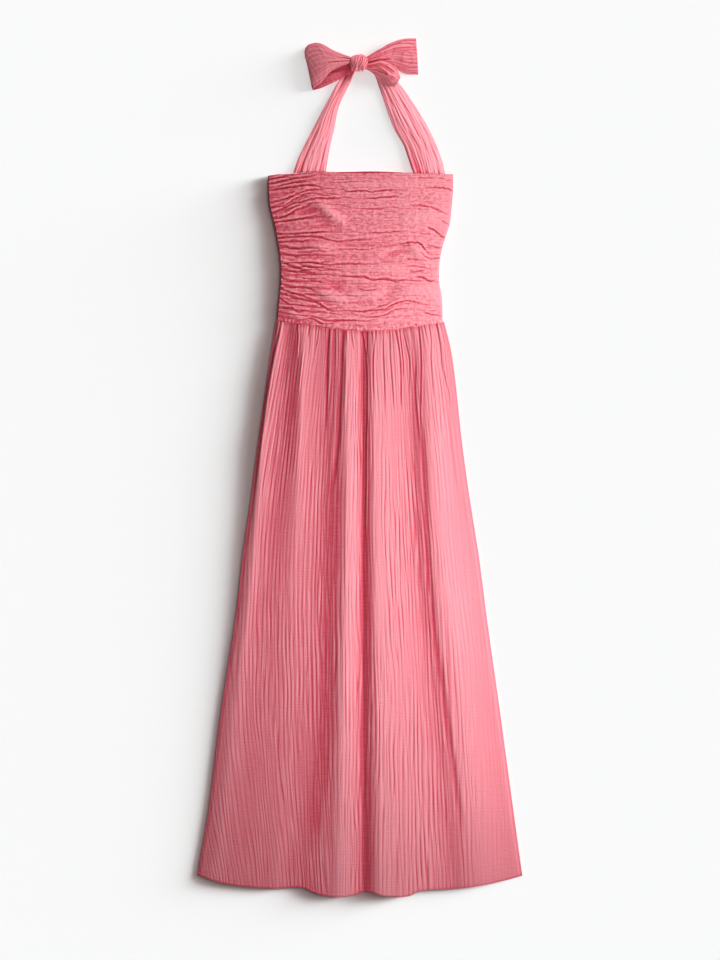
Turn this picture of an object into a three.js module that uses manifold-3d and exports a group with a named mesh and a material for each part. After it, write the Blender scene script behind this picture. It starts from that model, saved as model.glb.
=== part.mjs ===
// A halter maxi dress laid flat: ruched bodice, gathered A-line skirt, and two wide ties knotted in a bow.
// Millimetres. X runs across the dress, Y from hem to bow, and Z up from the surface that it lies on.
// The origin is on that surface, under the middle of the dress.
import * as THREE from "three";
import { mergeVertices } from "three/addons/utils/BufferGeometryUtils.js";
import Module from "manifold-3d";

// Driving dimensions
const NECKLINE_Y = 511; // the neckline's highest point
const SEAM_GAP = 0.3; // between pieces that are sewn or lie together
const CLOTH = 1.5; // one layer of crinkled cloth
const BACK_BODICE = 2.5; // elasticated back panel
const RUCHED = 3; // ruched front layer on its base, without its folds
const BODICE_EDGE_TOP = BACK_BODICE + SEAM_GAP + RUCHED;
const BODICE_RISE = 7; // how far the bodice's middle stands above its side seams
const BODICE_ROUNDING = 2.6; // exponent of the bodice's cross-section: higher is flatter in the middle
const RUCHING_DEPTH = 1.1; // depth of a ruching crease of strength 1
const SKIRT_EDGE_TOP = CLOTH + SEAM_GAP + CLOTH;
const GATHERS = 34; // gathers across the front of the waist seam
const GATHER_HEIGHT = 2.1; // half the height from valley to ridge, at the seam
const GATHER_FADE = 55; // distance over which the gathers soften
const CRINKLE_HEIGHT = 0.45; // what is left of each gather, down to the hem
const SKIRT_LENGTH = 972; // from waist seam to hem, down the middle
const HEM_HALF_WIDTH = 281;
const HEM_TURN = 6; // depth of the turned hem
const HEM_THICKER = 0.8;
const BACK_HEM_SHORT = 1.2; // the back hem stays just inside the front one

// How far below the neckline's highest point each side seam point lies, and its distance from the middle
const BODICE_SIDES = [
  { drop: 0, left: 159, right: 161 },
  { drop: 30, left: 159, right: 161 },
  { drop: 56, left: 157, right: 159 },
  { drop: 90, left: 149, right: 155 },
  { drop: 120, left: 143, right: 145 },
  { drop: 155, left: 138, right: 137.5 },
  { drop: 190, left: 138, right: 137 },
  { drop: 212, left: 140, right: 141 },
  { drop: 260, left: 144, right: 143 },
  { drop: 280, left: 145, right: 143 },
];

// Where the ruching table's five columns lie across the panel, from -1 at the left seam to 1 at the right one
const RUCHING_ACROSS = { left: -1, inLeft: -0.45, middle: 0, inRight: 0.42, right: 1 };

// Neckline, ruching creases and waist seam, from top to bottom: drop below the neckline's highest point at five
// places across, and how deep the crease is at the left, in the middle and at the right
const RUCHING = [
  { left: 6, inLeft: 0, middle: 2, inRight: 1, right: 4, deepLeft: 0, deepMiddle: 0, deepRight: 0 },
  { left: 12, inLeft: 6, middle: 8, inRight: 8, right: 10, deepLeft: 2.2, deepMiddle: 0.6, deepRight: 0.8 },
  { left: 20, inLeft: 12.5, middle: 14, inRight: 15, right: 17, deepLeft: 2, deepMiddle: 0.7, deepRight: 1 },
  { left: 31, inLeft: 22, middle: 22.5, inRight: 22, right: 22, deepLeft: 2.2, deepMiddle: 0.8, deepRight: 1.2 },
  { left: 41, inLeft: 30, middle: 33, inRight: 31, right: 29, deepLeft: 1.5, deepMiddle: 2, deepRight: 0.8 },
  { left: 51, inLeft: 36.5, middle: 47, inRight: 43, right: 40, deepLeft: 2.2, deepMiddle: 2.2, deepRight: 0.8 },
  { left: 60.5, inLeft: 43.5, middle: 55, inRight: 52, right: 50, deepLeft: 2, deepMiddle: 1, deepRight: 0.8 },
  { left: 71.5, inLeft: 54, middle: 63.5, inRight: 62, right: 70, deepLeft: 2.2, deepMiddle: 1.5, deepRight: 1.8 },
  { left: 79.5, inLeft: 64, middle: 74, inRight: 74.5, right: 79, deepLeft: 1.5, deepMiddle: 0.8, deepRight: 0.8 },
  { left: 87.5, inLeft: 78, middle: 84.5, inRight: 83, right: 88, deepLeft: 2.6, deepMiddle: 0.8, deepRight: 0.8 },
  { left: 96, inLeft: 94, middle: 94.5, inRight: 92.5, right: 99, deepLeft: 1.2, deepMiddle: 0.8, deepRight: 0.8 },
  { left: 107, inLeft: 104.5, middle: 104, inRight: 103, right: 112, deepLeft: 2, deepMiddle: 1.2, deepRight: 2.2 },
  { left: 114, inLeft: 112, middle: 118, inRight: 111, right: 119, deepLeft: 2, deepMiddle: 2, deepRight: 0.8 },
  { left: 121, inLeft: 120, middle: 126.5, inRight: 119, right: 125, deepLeft: 1.5, deepMiddle: 1, deepRight: 1 },
  { left: 130.5, inLeft: 133, middle: 135, inRight: 127, right: 132, deepLeft: 2.5, deepMiddle: 1, deepRight: 3 },
  { left: 141, inLeft: 145, middle: 145, inRight: 138, right: 143.5, deepLeft: 2.5, deepMiddle: 0.8, deepRight: 2 },
  { left: 156, inLeft: 157, middle: 161, inRight: 155, right: 155, deepLeft: 3, deepMiddle: 1.5, deepRight: 1 },
  { left: 163.5, inLeft: 164, middle: 168, inRight: 164, right: 162.5, deepLeft: 3, deepMiddle: 1, deepRight: 0.8 },
  { left: 171, inLeft: 170, middle: 175, inRight: 172.5, right: 170, deepLeft: 2.5, deepMiddle: 1.5, deepRight: 1 },
  { left: 180.5, inLeft: 177, middle: 183, inRight: 188, right: 187, deepLeft: 2, deepMiddle: 3, deepRight: 2.8 },
  { left: 191, inLeft: 189.5, middle: 194, inRight: 195.5, right: 195, deepLeft: 2.5, deepMiddle: 1, deepRight: 0.8 },
  { left: 199.5, inLeft: 201, middle: 203, inRight: 203, right: 204, deepLeft: 2, deepMiddle: 1, deepRight: 0.8 },
  { left: 208, inLeft: 214, middle: 214.5, inRight: 213, right: 214, deepLeft: 2.5, deepMiddle: 2, deepRight: 1 },
  { left: 217, inLeft: 225, middle: 227, inRight: 219.5, right: 223, deepLeft: 2, deepMiddle: 1.5, deepRight: 1 },
  { left: 226, inLeft: 236, middle: 241, inRight: 228, right: 232, deepLeft: 2, deepMiddle: 3, deepRight: 2.2 },
  { left: 234, inLeft: 243, middle: 247.5, inRight: 237, right: 242, deepLeft: 2.5, deepMiddle: 1.5, deepRight: 1.8 },
  { left: 243, inLeft: 252, middle: 257.5, inRight: 250, right: 249, deepLeft: 2.2, deepMiddle: 2.2, deepRight: 1.2 },
  { left: 250, inLeft: 260, middle: 266, inRight: 262.5, right: 254.5, deepLeft: 1.5, deepMiddle: 1.5, deepRight: 1 },
  { left: 256, inLeft: 268, middle: 274, inRight: 271.5, right: 258.5, deepLeft: 0.5, deepMiddle: 0.5, deepRight: 0.5 },
];

// The skirt's side seams: distance from the middle at each height
const SKIRT_SIDES = [
  { y: -743, left: 285.5, right: 285.5 },
  { y: -706, left: 281, right: 281 },
  { y: -590, left: 261.5, right: 265 },
  { y: -420, left: 240, right: 242 },
  { y: -260, left: 215, right: 219.5 },
  { y: -155, left: 203, right: 206 },
  { y: -60, left: 189.5, right: 191 },
  { y: 40, left: 176.5, right: 177 },
  { y: 150, left: 161, right: 165 },
  { y: 205, left: 153, right: 157 },
  { y: 258, left: 145, right: 144 },
];

// The front hem, from left to right
const HEM = [
  { x: -281, y: -706 },
  { x: -250, y: -716 },
  { x: -219, y: -723 },
  { x: -151, y: -729 },
  { x: -99, y: -728 },
  { x: -73, y: -738 },
  { x: -43, y: -743 },
  { x: -16, y: -741 },
  { x: 12, y: -734.5 },
  { x: 44, y: -741 },
  { x: 81, y: -742 },
  { x: 103, y: -733 },
  { x: 156, y: -730 },
  { x: 201, y: -725 },
  { x: 246, y: -716 },
  { x: 281, y: -707 },
];

// The skirt's large folds, from the left seam to the right one. Each row is a ridge or a valley: where it runs at
// five heights, and how high its outer face stands there. The seams themselves come from SKIRT_SIDES.
const FOLD_HEIGHTS_Y = { waist: 229, hip: 91, thigh: -169, calf: -428, hem: -736 };
const FOLDS = [
  { waist: -140, hip: -166, thigh: -185, calf: -214, hem: -249, zWaist: 7.5, zHip: 9, zThigh: 9, zCalf: 8, zHem: 7 },
  { waist: -126, hip: -132, thigh: -157, calf: -180, hem: -197, zWaist: 7.5, zHip: 5.5, zThigh: 5, zCalf: 5, zHem: 5 },
  { waist: -98, hip: -104, thigh: -114, calf: -126, hem: -145, zWaist: 10, zHip: 10, zThigh: 8.5, zCalf: 7, zHem: 6.5 },
  { waist: -66, hip: -64, thigh: -69, calf: -73, hem: -121, zWaist: 8, zHip: 5, zThigh: 4.5, zCalf: 4.5, zHem: 4.5 },
  { waist: -24, hip: -22, thigh: -24, calf: -33, hem: -38, zWaist: 11, zHip: 12, zThigh: 12, zCalf: 11, zHem: 10 },
  { waist: 0, hip: 2, thigh: 3, calf: 5, hem: 7, zWaist: 7, zHip: 4.5, zThigh: 4.2, zCalf: 4.2, zHem: 4.2 },
  { waist: 22, hip: 24, thigh: 30, calf: 39, hem: 41, zWaist: 11, zHip: 12, zThigh: 13, zCalf: 12, zHem: 11 },
  { waist: 88, hip: 93, thigh: 105, calf: 133, hem: 164, zWaist: 8, zHip: 5.5, zThigh: 5, zCalf: 5, zHem: 5 },
  { waist: 111, hip: 125, thigh: 150, calf: 175, hem: 204, zWaist: 9.5, zHip: 10, zThigh: 10.5, zCalf: 9, zHem: 8 },
];

// Rows of the skirt's grid, as shares of the way from waist seam to hem
const HEM_FOLD = 1 - HEM_TURN / SKIRT_LENGTH;
const SKIRT_ROWS = [0, 0.016, 0.04, 0.08, 0.15, 0.26, 0.4, 0.56, 0.72, 0.87, HEM_FOLD, 1];
const POINTS_A_FOLD = 4;
const BODICE_COLUMNS = 10;
const BACK_COLUMNS = 24;

// The ties' sections, from the bodice or the knot outwards. Each goes from one edge (x, y, z) to the other
// (toX, toY, toZ), and its middle stands up by crown.
const STRAP_LEFT = [
  { x: -115.4, y: 510, z: 3.6, toX: -59.2, toY: 511.7, toZ: 4.2, crown: 2.5 },
  { x: -109, y: 530, z: 1.4, toX: -56.4, toY: 530.4, toZ: 1.6, crown: 4 },
  { x: -96.5, y: 558, z: 0.75, toX: -51.4, toY: 558.4, toZ: 0.75, crown: 5 },
  { x: -82.5, y: 585, z: 0.75, toX: -44.3, toY: 587, toZ: 0.75, crown: 5 },
  { x: -64, y: 621, z: 0.75, toX: -36, toY: 626, toZ: 0.75, crown: 4.5 },
  { x: -43, y: 659, z: 0.75, toX: -18, toY: 664, toZ: 1, crown: 3.5 },
  { x: -31, y: 678, z: 1.6, toX: -11, toY: 681, toZ: 2, crown: 2.6 },
  { x: -20, y: 694, z: 3.6, toX: -4, toY: 695, toZ: 3.6, crown: 1.5 },
];
const STRAP_RIGHT = [
  { x: 91.7, y: 509.9, z: 4.2, toX: 147.2, toY: 508.1, toZ: 3.6, crown: 2.5 },
  { x: 85, y: 530.4, z: 1.6, toX: 142.4, toY: 530, toZ: 1.4, crown: 4.5 },
  { x: 75.5, y: 558, z: 0.75, toX: 132, toY: 559, toZ: 0.75, crown: 5.5 },
  { x: 59.5, y: 585, z: 0.75, toX: 118, toY: 589, toZ: 0.75, crown: 5.5 },
  { x: 45.8, y: 621, z: 0.75, toX: 94.6, toY: 628, toZ: 0.75, crown: 5 },
  { x: 33, y: 658, z: 0.75, toX: 66.5, toY: 667, toZ: 0.75, crown: 3.5 },
  { x: 24, y: 680, z: 2.5, toX: 43, toY: 684, toZ: 2, crown: 2.5 },
  { x: 2, y: 694, z: 6, toX: 12, toY: 700, toZ: 6, crown: 1.5 },
];
const LOOP_LEFT = [
  { x: -8, y: 703, z: 9, toX: -8, toY: 690, toZ: 9, crown: 0 },
  { x: -24, y: 711, z: 9, toX: -26, toY: 676, toZ: 8.8, crown: -1 },
  { x: -48, y: 721, z: 6.5, toX: -48, toY: 664.5, toZ: 8.4, crown: -1 },
  { x: -72, y: 731.5, z: 2.5, toX: -68, toY: 656.5, toZ: 3.5, crown: -0.5 },
  { x: -89, y: 730, z: 0.8, toX: -79.5, toY: 654, toZ: 1, crown: 0 },
  { x: -96, y: 719, z: 4.2, toX: -82, toY: 654.5, toZ: 4.2, crown: 0 },
  { x: -90, y: 730.5, z: 8.2, toX: -79, toY: 657, toZ: 8.2, crown: 1 },
  { x: -70, y: 733, z: 12.5, toX: -66, toY: 666, toZ: 12, crown: 3.5 },
  { x: -45, y: 719.5, z: 16, toX: -50, toY: 683.5, toZ: 15, crown: 3.5 },
  { x: -21, y: 710, z: 17.5, toX: -24, toY: 695, toZ: 17, crown: 1.5 },
  { x: -8, y: 705, z: 18, toX: -8, toY: 697, toZ: 18, crown: 0 },
];
const TAIL_RIGHT = [
  { x: -2, y: 696, z: 10, toX: -2, toY: 703, toZ: 10, crown: 0 },
  { x: 13, y: 695, z: 9, toX: 10, toY: 709, toZ: 9, crown: 1 },
  { x: 36, y: 694, z: 6, toX: 33, toY: 723, toZ: 8, crown: 1.5 },
  { x: 58, y: 691, z: 3.2, toX: 59, toY: 737, toZ: 6, crown: 3 },
  { x: 80, y: 681.5, z: 1.5, toX: 79, toY: 742.4, toZ: 4, crown: 5 },
  { x: 101, y: 680.5, z: 0.8, toX: 97, toY: 743, toZ: 2, crown: 4 },
];
const LOOP_RIGHT = [
  { x: -2, y: 694, z: 14.5, toX: -2, toY: 700, toZ: 14.5, crown: 0 },
  { x: 15, y: 685.5, z: 13.5, toX: 14, toY: 697, toZ: 14.5, crown: 1.5 },
  { x: 31, y: 680.5, z: 12.5, toX: 37, toY: 703, toZ: 13.5, crown: 3.5 },
  { x: 47, y: 669, z: 11, toX: 57, toY: 695, toZ: 12.5, crown: 4 },
  { x: 62, y: 659.5, z: 9.5, toX: 72.5, toY: 679, toZ: 11, crown: 2.5 },
];
const KNOT = { x: -2.5, y: 698.5, z: 13.6, halfWidth: 16.5, halfHeight: 15, halfDepth: 12.6, wraps: 6, wrapDepth: 0.7 };

// A smooth curve through a table's rows: the value of one column where another column reaches a place
function along(rows, placeColumn, valueColumn, place) {
  const sign = rows[rows.length - 1][placeColumn] > rows[0][placeColumn] ? 1 : -1;
  const at = rows.map((row) => sign * row[placeColumn]);
  const value = rows.map((row) => row[valueColumn]);
  const last = rows.length - 1;
  const t = Math.min(Math.max(sign * place, at[0]), at[last]);
  let k = 0;
  while (k < last - 1 && t > at[k + 1]) k += 1;
  const slope = (i) => {
    const lower = Math.max(i - 1, 0);
    const upper = Math.min(i + 1, last);
    return (value[upper] - value[lower]) / (at[upper] - at[lower]);
  };
  const span = at[k + 1] - at[k];
  const s = (t - at[k]) / span;
  const startShare = 2 * s ** 3 - 3 * s ** 2 + 1;
  const endShare = 3 * s ** 2 - 2 * s ** 3;
  return (
    startShare * value[k] +
    endShare * value[k + 1] +
    (s ** 3 - 2 * s ** 2 + s) * span * slope(k) +
    (s ** 3 - s ** 2) * span * slope(k + 1)
  );
}

const mix = (a, b, share) => a + (b - a) * share;
const ease = (share) => share * share * (3 - 2 * share);

// One closed wall between an outer and an inner grid of points, each as grid[column][row]
function wallBetween(outer, inner) {
  const columns = outer.length;
  const rows = outer[0].length;
  const points = [...outer.flat(), ...inner.flat()];
  const out = (i, j) => i * rows + j;
  const inn = (i, j) => columns * rows + i * rows + j;
  const faces = [];
  const quad = (a, b, c, d) => faces.push(a, b, c, a, c, d);
  for (let i = 0; i < columns - 1; i += 1) {
    for (let j = 0; j < rows - 1; j += 1) {
      quad(out(i, j), out(i + 1, j), out(i + 1, j + 1), out(i, j + 1));
      quad(inn(i, j), inn(i, j + 1), inn(i + 1, j + 1), inn(i + 1, j));
    }
    quad(inn(i, 0), inn(i + 1, 0), out(i + 1, 0), out(i, 0));
    quad(out(i, rows - 1), out(i + 1, rows - 1), inn(i + 1, rows - 1), inn(i, rows - 1));
  }
  for (let j = 0; j < rows - 1; j += 1) {
    quad(out(0, j), out(0, j + 1), inn(0, j + 1), inn(0, j));
    quad(inn(columns - 1, j), inn(columns - 1, j + 1), out(columns - 1, j + 1), out(columns - 1, j));
  }
  const geometry = new THREE.BufferGeometry();
  geometry.setAttribute("position", new THREE.Float32BufferAttribute(points.flatMap((p) => p.toArray()), 3));
  geometry.setIndex(faces);
  return geometry;
}

// A grid of points, one for each share across and each share down
function grid(across, down, pointAt) {
  return across.map((u) => down.map((v) => pointAt(u, v)));
}

const shares = (count) => Array.from({ length: count + 1 }, (_, i) => i / count);

// Bodice

const bodiceY = (drop) => NECKLINE_Y - drop;
const ruchingPlaces = Object.entries(RUCHING_ACROSS).map(([column, u]) => ({ column, u }));

// How far a ruching row lies below the neckline's highest point, at u from -1 to 1
function ruchingDrop(row, u) {
  const places = ruchingPlaces.map((place) => ({ u: place.u, drop: row[place.column] }));
  return along(places, "u", "drop", u);
}

function ruchingDepth(row, u) {
  const share = Math.abs(u);
  return RUCHING_DEPTH * mix(row.deepMiddle, u < 0 ? row.deepLeft : row.deepRight, ease(Math.min(1, share * 1.3)));
}

function bodiceX(u, drop) {
  return u < 0 ? u * along(BODICE_SIDES, "drop", "left", drop) : u * along(BODICE_SIDES, "drop", "right", drop);
}

const bodiceDome = (u) => BODICE_EDGE_TOP + BODICE_RISE * (1 - Math.abs(u) ** BODICE_ROUNDING);

// The bodice front's outer face: u from -1 to 1 across, and v counts ruching rows down from the neckline
function bodiceOuter(u, v) {
  const k = Math.min(Math.floor(v), RUCHING.length - 2);
  const s = v - k;
  const drop = mix(ruchingDrop(RUCHING[k], u), ruchingDrop(RUCHING[k + 1], u), s);
  const depth = mix(ruchingDepth(RUCHING[k], u), ruchingDepth(RUCHING[k + 1], u), s);
  const relief = -depth * 0.5 * Math.cos(2 * Math.PI * s) * Math.min(1, (1 - Math.abs(u)) * 12 + 0.5);
  return new THREE.Vector3(bodiceX(u, drop), bodiceY(drop), bodiceDome(u) + relief);
}

function bodiceFront() {
  const across = shares(BODICE_COLUMNS).map((share) => 2 * share - 1);
  const down = shares((RUCHING.length - 1) * POINTS_A_FOLD).map((share) => (1 - share) * (RUCHING.length - 1));
  const outer = grid(across, down, bodiceOuter);
  const inner = grid(across, down, (u, v) => {
    const point = bodiceOuter(u, v);
    return point.setZ(Math.max(BACK_BODICE + SEAM_GAP, bodiceDome(u) - RUCHED - RUCHING_DEPTH));
  });
  return wallBetween(outer, inner);
}

function bodiceBack() {
  const across = shares(BACK_COLUMNS).map((share) => 2 * share - 1);
  const down = shares(8).map((share) => (1 - share) * (RUCHING.length - 1));
  const flat = (z) => (u, v) => {
    const point = bodiceOuter(u, v);
    const middleRise = v === 0 ? 2.5 * Math.exp(-(((point.x - 10) / 40) ** 2)) : 0;
    return new THREE.Vector3(point.x, point.y + middleRise, z);
  };
  return wallBetween(grid(across, down, flat(BACK_BODICE)), grid(across, down, flat(0)));
}

// Skirt

const skirtLeft = (y) => -along(SKIRT_SIDES, "y", "left", y);
const skirtRight = (y) => along(SKIRT_SIDES, "y", "right", y);
const waistSeamY = (u) => bodiceY(ruchingDrop(RUCHING[RUCHING.length - 1], u)) - SEAM_GAP;
const hemY = (u) => along(HEM, "x", "y", u * HEM_HALF_WIDTH);

function skirtPlace(u, v, hemShort = 0) {
  const y = mix(waistSeamY(u), hemY(u) + hemShort, v);
  return new THREE.Vector3(mix(skirtLeft(y), skirtRight(y), (u + 1) / 2), y, 0);
}

// Height of the skirt's outer face at a point, from the two fold lines beside it
function foldHeight(x, y) {
  const stations = Object.keys(FOLD_HEIGHTS_Y);
  const lines = FOLDS.map((fold) => {
    const places = stations.map((name) => ({
      y: FOLD_HEIGHTS_Y[name],
      x: fold[name],
      z: fold["z" + name[0].toUpperCase() + name.slice(1)],
    }));
    return { x: along(places, "y", "x", y), z: along(places, "y", "z", y) };
  });
  lines.unshift({ x: skirtLeft(y), z: SKIRT_EDGE_TOP });
  lines.push({ x: skirtRight(y), z: SKIRT_EDGE_TOP });
  const k = Math.min(lines.filter((line) => line.x <= x).length, lines.length - 1) - 1;
  const [from, to] = [lines[Math.max(k, 0)], lines[Math.max(k, 0) + 1]];
  const share = Math.min(Math.max((x - from.x) / (to.x - from.x), 0), 1);
  return mix(from.z, to.z, ease(share));
}

// Gathers differ in width: the places of the columns are shifted by slow waves
const gatherPlace = (share) =>
  2 * share - 1 + 0.012 * Math.sin(2 * Math.PI * 7 * share) - 0.007 * Math.sin(2 * Math.PI * 11 * share);

function skirtFront() {
  const columns = GATHERS * POINTS_A_FOLD;
  const across = shares(columns);
  const down = [...SKIRT_ROWS].reverse();
  const outerAt = (share, v) => {
    const point = skirtPlace(gatherPlace(share), v);
    const below = waistSeamY(0) - point.y;
    const height = CRINKLE_HEIGHT + GATHER_HEIGHT * Math.exp(-Math.max(below, 0) / GATHER_FADE);
    const edgeFade = Math.min(1, Math.min(share, 1 - share) * 20);
    const wave = -Math.cos(2 * Math.PI * GATHERS * share) * height * edgeFade;
    return point.setZ(Math.max(foldHeight(point.x, point.y) + wave, SKIRT_EDGE_TOP));
  };
  const outer = grid(across, down, (share, v) => {
    const point = outerAt(share, v);
    return point.setZ(point.z + (v >= HEM_FOLD ? HEM_THICKER : 0));
  });
  const inner = grid(across, down, (share, v) => {
    const point = outerAt(share, v);
    return point.setZ(Math.max(point.z - CLOTH, CLOTH + SEAM_GAP));
  });
  return wallBetween(outer, inner);
}

function skirtBack() {
  const across = shares(BACK_COLUMNS).map((share) => 2 * share - 1);
  const down = [1, 0.75, 0.5, 0.25, 0];
  const flat = (z) => (u, v) => skirtPlace(u, v, BACK_HEM_SHORT).setZ(z);
  return wallBetween(grid(across, down, flat(CLOTH)), grid(across, down, flat(0)));
}

// Ties and bow

const wasm = await Module();
wasm.setup();

function toSolid(geometry) {
  const bare = geometry.clone();
  bare.deleteAttribute("normal");
  bare.deleteAttribute("uv");
  const merged = mergeVertices(bare, 1e-3);
  return new wasm.Manifold(
    new wasm.Mesh({
      numProp: 3,
      vertProperties: merged.attributes.position.array,
      triVerts: new Uint32Array(merged.index.array),
    }),
  );
}

function toGeometry(solid) {
  const mesh = solid.getMesh();
  const geometry = new THREE.BufferGeometry();
  geometry.setAttribute("position", new THREE.BufferAttribute(mesh.vertProperties, 3));
  geometry.setIndex(new THREE.BufferAttribute(mesh.triVerts, 1));
  return geometry;
}

// A strip of cloth lofted through a table of sections, with gathers along its length
function ribbon(sections, { across, steps, gathers, gatherHeight, wall = CLOTH }) {
  const rows = sections.map((section, index) => ({ index, ...section }));
  const last = rows.length - 1;
  const middleAt = (s, t) => {
    const read = (column) => along(rows, "index", column, s * last);
    const wave = gatherHeight * Math.cos(2 * Math.PI * gathers * t) * Math.sin(Math.PI * Math.min(1, t * 4, (1 - t) * 4) / 2);
    return new THREE.Vector3(
      mix(read("x"), read("toX"), t),
      mix(read("y"), read("toY"), t),
      mix(read("z"), read("toZ"), t) + read("crown") * 4 * t * (1 - t) - wave,
    );
  };
  const step = 1e-3;
  const normalAt = (s, t) => {
    const alongS = middleAt(Math.min(s + step, 1), t).sub(middleAt(Math.max(s - step, 0), t));
    const alongT = middleAt(s, Math.min(t + step, 1)).sub(middleAt(s, Math.max(t - step, 0)));
    return alongS.cross(alongT).normalize();
  };
  const face = (side) => (s, t) => {
    const point = middleAt(s, t).addScaledVector(normalAt(s, t), (side * wall) / 2);
    return point.setZ(Math.max(point.z, 0));
  };
  const [lengthwise, crosswise] = [shares(steps), shares(across)];
  return wallBetween(grid(lengthwise, crosswise, face(1)), grid(lengthwise, crosswise, face(-1)));
}

// The knot: a barrel of wrapped cloth, revolved about X, with a groove between its wraps
function knot(clearance = 0) {
  const profile = [];
  const points = KNOT.wraps * 3;
  for (let k = 0; k <= points; k += 1) {
    const share = (2 * k) / points - 1;
    const round = (1 - Math.abs(share) ** 3) ** (1 / 2.2);
    const groove = Math.cos(Math.PI * KNOT.wraps * (share + 1)) * KNOT.wrapDepth * round;
    const radius = k === 0 || k === points ? 0 : KNOT.halfHeight * round - groove + clearance;
    profile.push(new THREE.Vector2(radius, -share * (KNOT.halfWidth + clearance)));
  }
  return new THREE.LatheGeometry(profile.reverse(), 20)
    .rotateZ(-Math.PI / 2)
    .scale(1, 1, (KNOT.halfDepth + clearance) / (KNOT.halfHeight + clearance))
    .translate(KNOT.x, KNOT.y, KNOT.z);
}

const knotRoom = toSolid(knot(SEAM_GAP));
const besideKnot = (geometry) => toGeometry(toSolid(geometry).subtract(knotRoom));

// The dress

const PINK = { color: new THREE.Color().setRGB(0.91, 0.5, 0.57, THREE.SRGBColorSpace), roughness: 0.9, metalness: 0 };
const dress = new THREE.Group();

function add(name, geometry) {
  const mesh = new THREE.Mesh(geometry, new THREE.MeshStandardMaterial(PINK));
  mesh.name = name;
  dress.add(mesh);
}

add("bodice_front", bodiceFront());
add("bodice_back", bodiceBack());
add("skirt_front", skirtFront());
add("skirt_back", skirtBack());
add("strap_left", besideKnot(ribbon(STRAP_LEFT, { across: 12, steps: 16, gathers: 4, gatherHeight: 0.8 })));
add("strap_right", besideKnot(ribbon(STRAP_RIGHT, { across: 12, steps: 16, gathers: 4, gatherHeight: 0.8 })));
add("bow_knot", knot());
add("bow_loop_left", besideKnot(ribbon(LOOP_LEFT, { across: 8, steps: 30, gathers: 2, gatherHeight: 0.3 })));
add("bow_tail_right", besideKnot(ribbon(TAIL_RIGHT, { across: 10, steps: 12, gathers: 3, gatherHeight: 0.7 })));
add("bow_loop_right", besideKnot(ribbon(LOOP_RIGHT, { across: 10, steps: 12, gathers: 3, gatherHeight: 0.8 })));

export default dress;
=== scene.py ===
"""A halter maxi dress of crinkled pink gauze, laid flat: its looks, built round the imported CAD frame.

Tables and sizes are in millimetres, in the CAD frame: X across the dress, Y from hem to bow, Z up from the
surface. Meshes are made in metres. Each piece of cloth is a fine grid on the form of its CAD solid.
"""

import bpy
import numpy as np
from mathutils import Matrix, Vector


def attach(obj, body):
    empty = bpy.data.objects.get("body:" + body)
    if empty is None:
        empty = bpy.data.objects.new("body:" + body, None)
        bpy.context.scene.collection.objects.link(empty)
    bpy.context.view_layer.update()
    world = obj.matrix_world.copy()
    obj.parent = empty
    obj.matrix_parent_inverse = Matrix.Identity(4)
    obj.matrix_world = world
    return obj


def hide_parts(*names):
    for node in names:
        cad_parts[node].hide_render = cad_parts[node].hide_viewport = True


MM = 0.001
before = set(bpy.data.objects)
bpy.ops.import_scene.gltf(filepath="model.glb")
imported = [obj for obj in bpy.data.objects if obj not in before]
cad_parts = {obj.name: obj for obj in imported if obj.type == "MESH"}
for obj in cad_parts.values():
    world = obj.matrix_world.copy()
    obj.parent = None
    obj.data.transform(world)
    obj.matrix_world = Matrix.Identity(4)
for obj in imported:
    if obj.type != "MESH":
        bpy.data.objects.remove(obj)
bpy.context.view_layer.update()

# Driving sizes, the same as in the CAD source
NECKLINE_Y = 511
SEAM_GAP = 0.3
BODICE_EDGE_TOP = 5.8
BODICE_RISE = 7
BODICE_ROUNDING = 2.6
SKIRT_EDGE_TOP = 3.3
SKIRT_LENGTH = 972
HEM_HALF_WIDTH = 281
GATHERS = 34
BACK_BODICE = 2.5
CLOTH = 1.5

# Sizes of the cloth's own detail. A lip is a share of the depth of the crease beside it.
RIBBON_WIDTH = 55
SIDE_SEAM_Z = 2.9
FRONT_LOWEST_Z = 2.1
HEM_BAND = 5.5
BODICE_LIP = 0.55
GATHER_RISE = 1.7
GATHER_SEED = 11
CRINKLE_PITCH = 4.9
CRINKLE_ROUNDING = 0.7
CRINKLE_MEAN = 0.62

# Grids: columns across and rows along, for the bodice between one ruching crease and the next
BODICE_FRONT_GRID = (300, 11)
BODICE_BACK_GRID = (150, 5)
SKIRT_FRONT_COLUMNS = 752
SKIRT_BACK_GRID = (300, 90)

# A placed crease that ends beyond these runs on into a seam or the hem: X on the bodice, Y on the skirt
BODICE_SEWN = (-130, 130)
SKIRT_SEWN = (-700, 225)

BODICE_SIDES = dict(
    drop=[0, 30, 56, 90, 120, 155, 190, 212, 260, 280],
    left=[159, 159, 157, 149, 143, 138, 138, 140, 144, 145],
    right=[161, 161, 159, 155, 145, 137.5, 137, 141, 143, 143],
)

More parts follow.
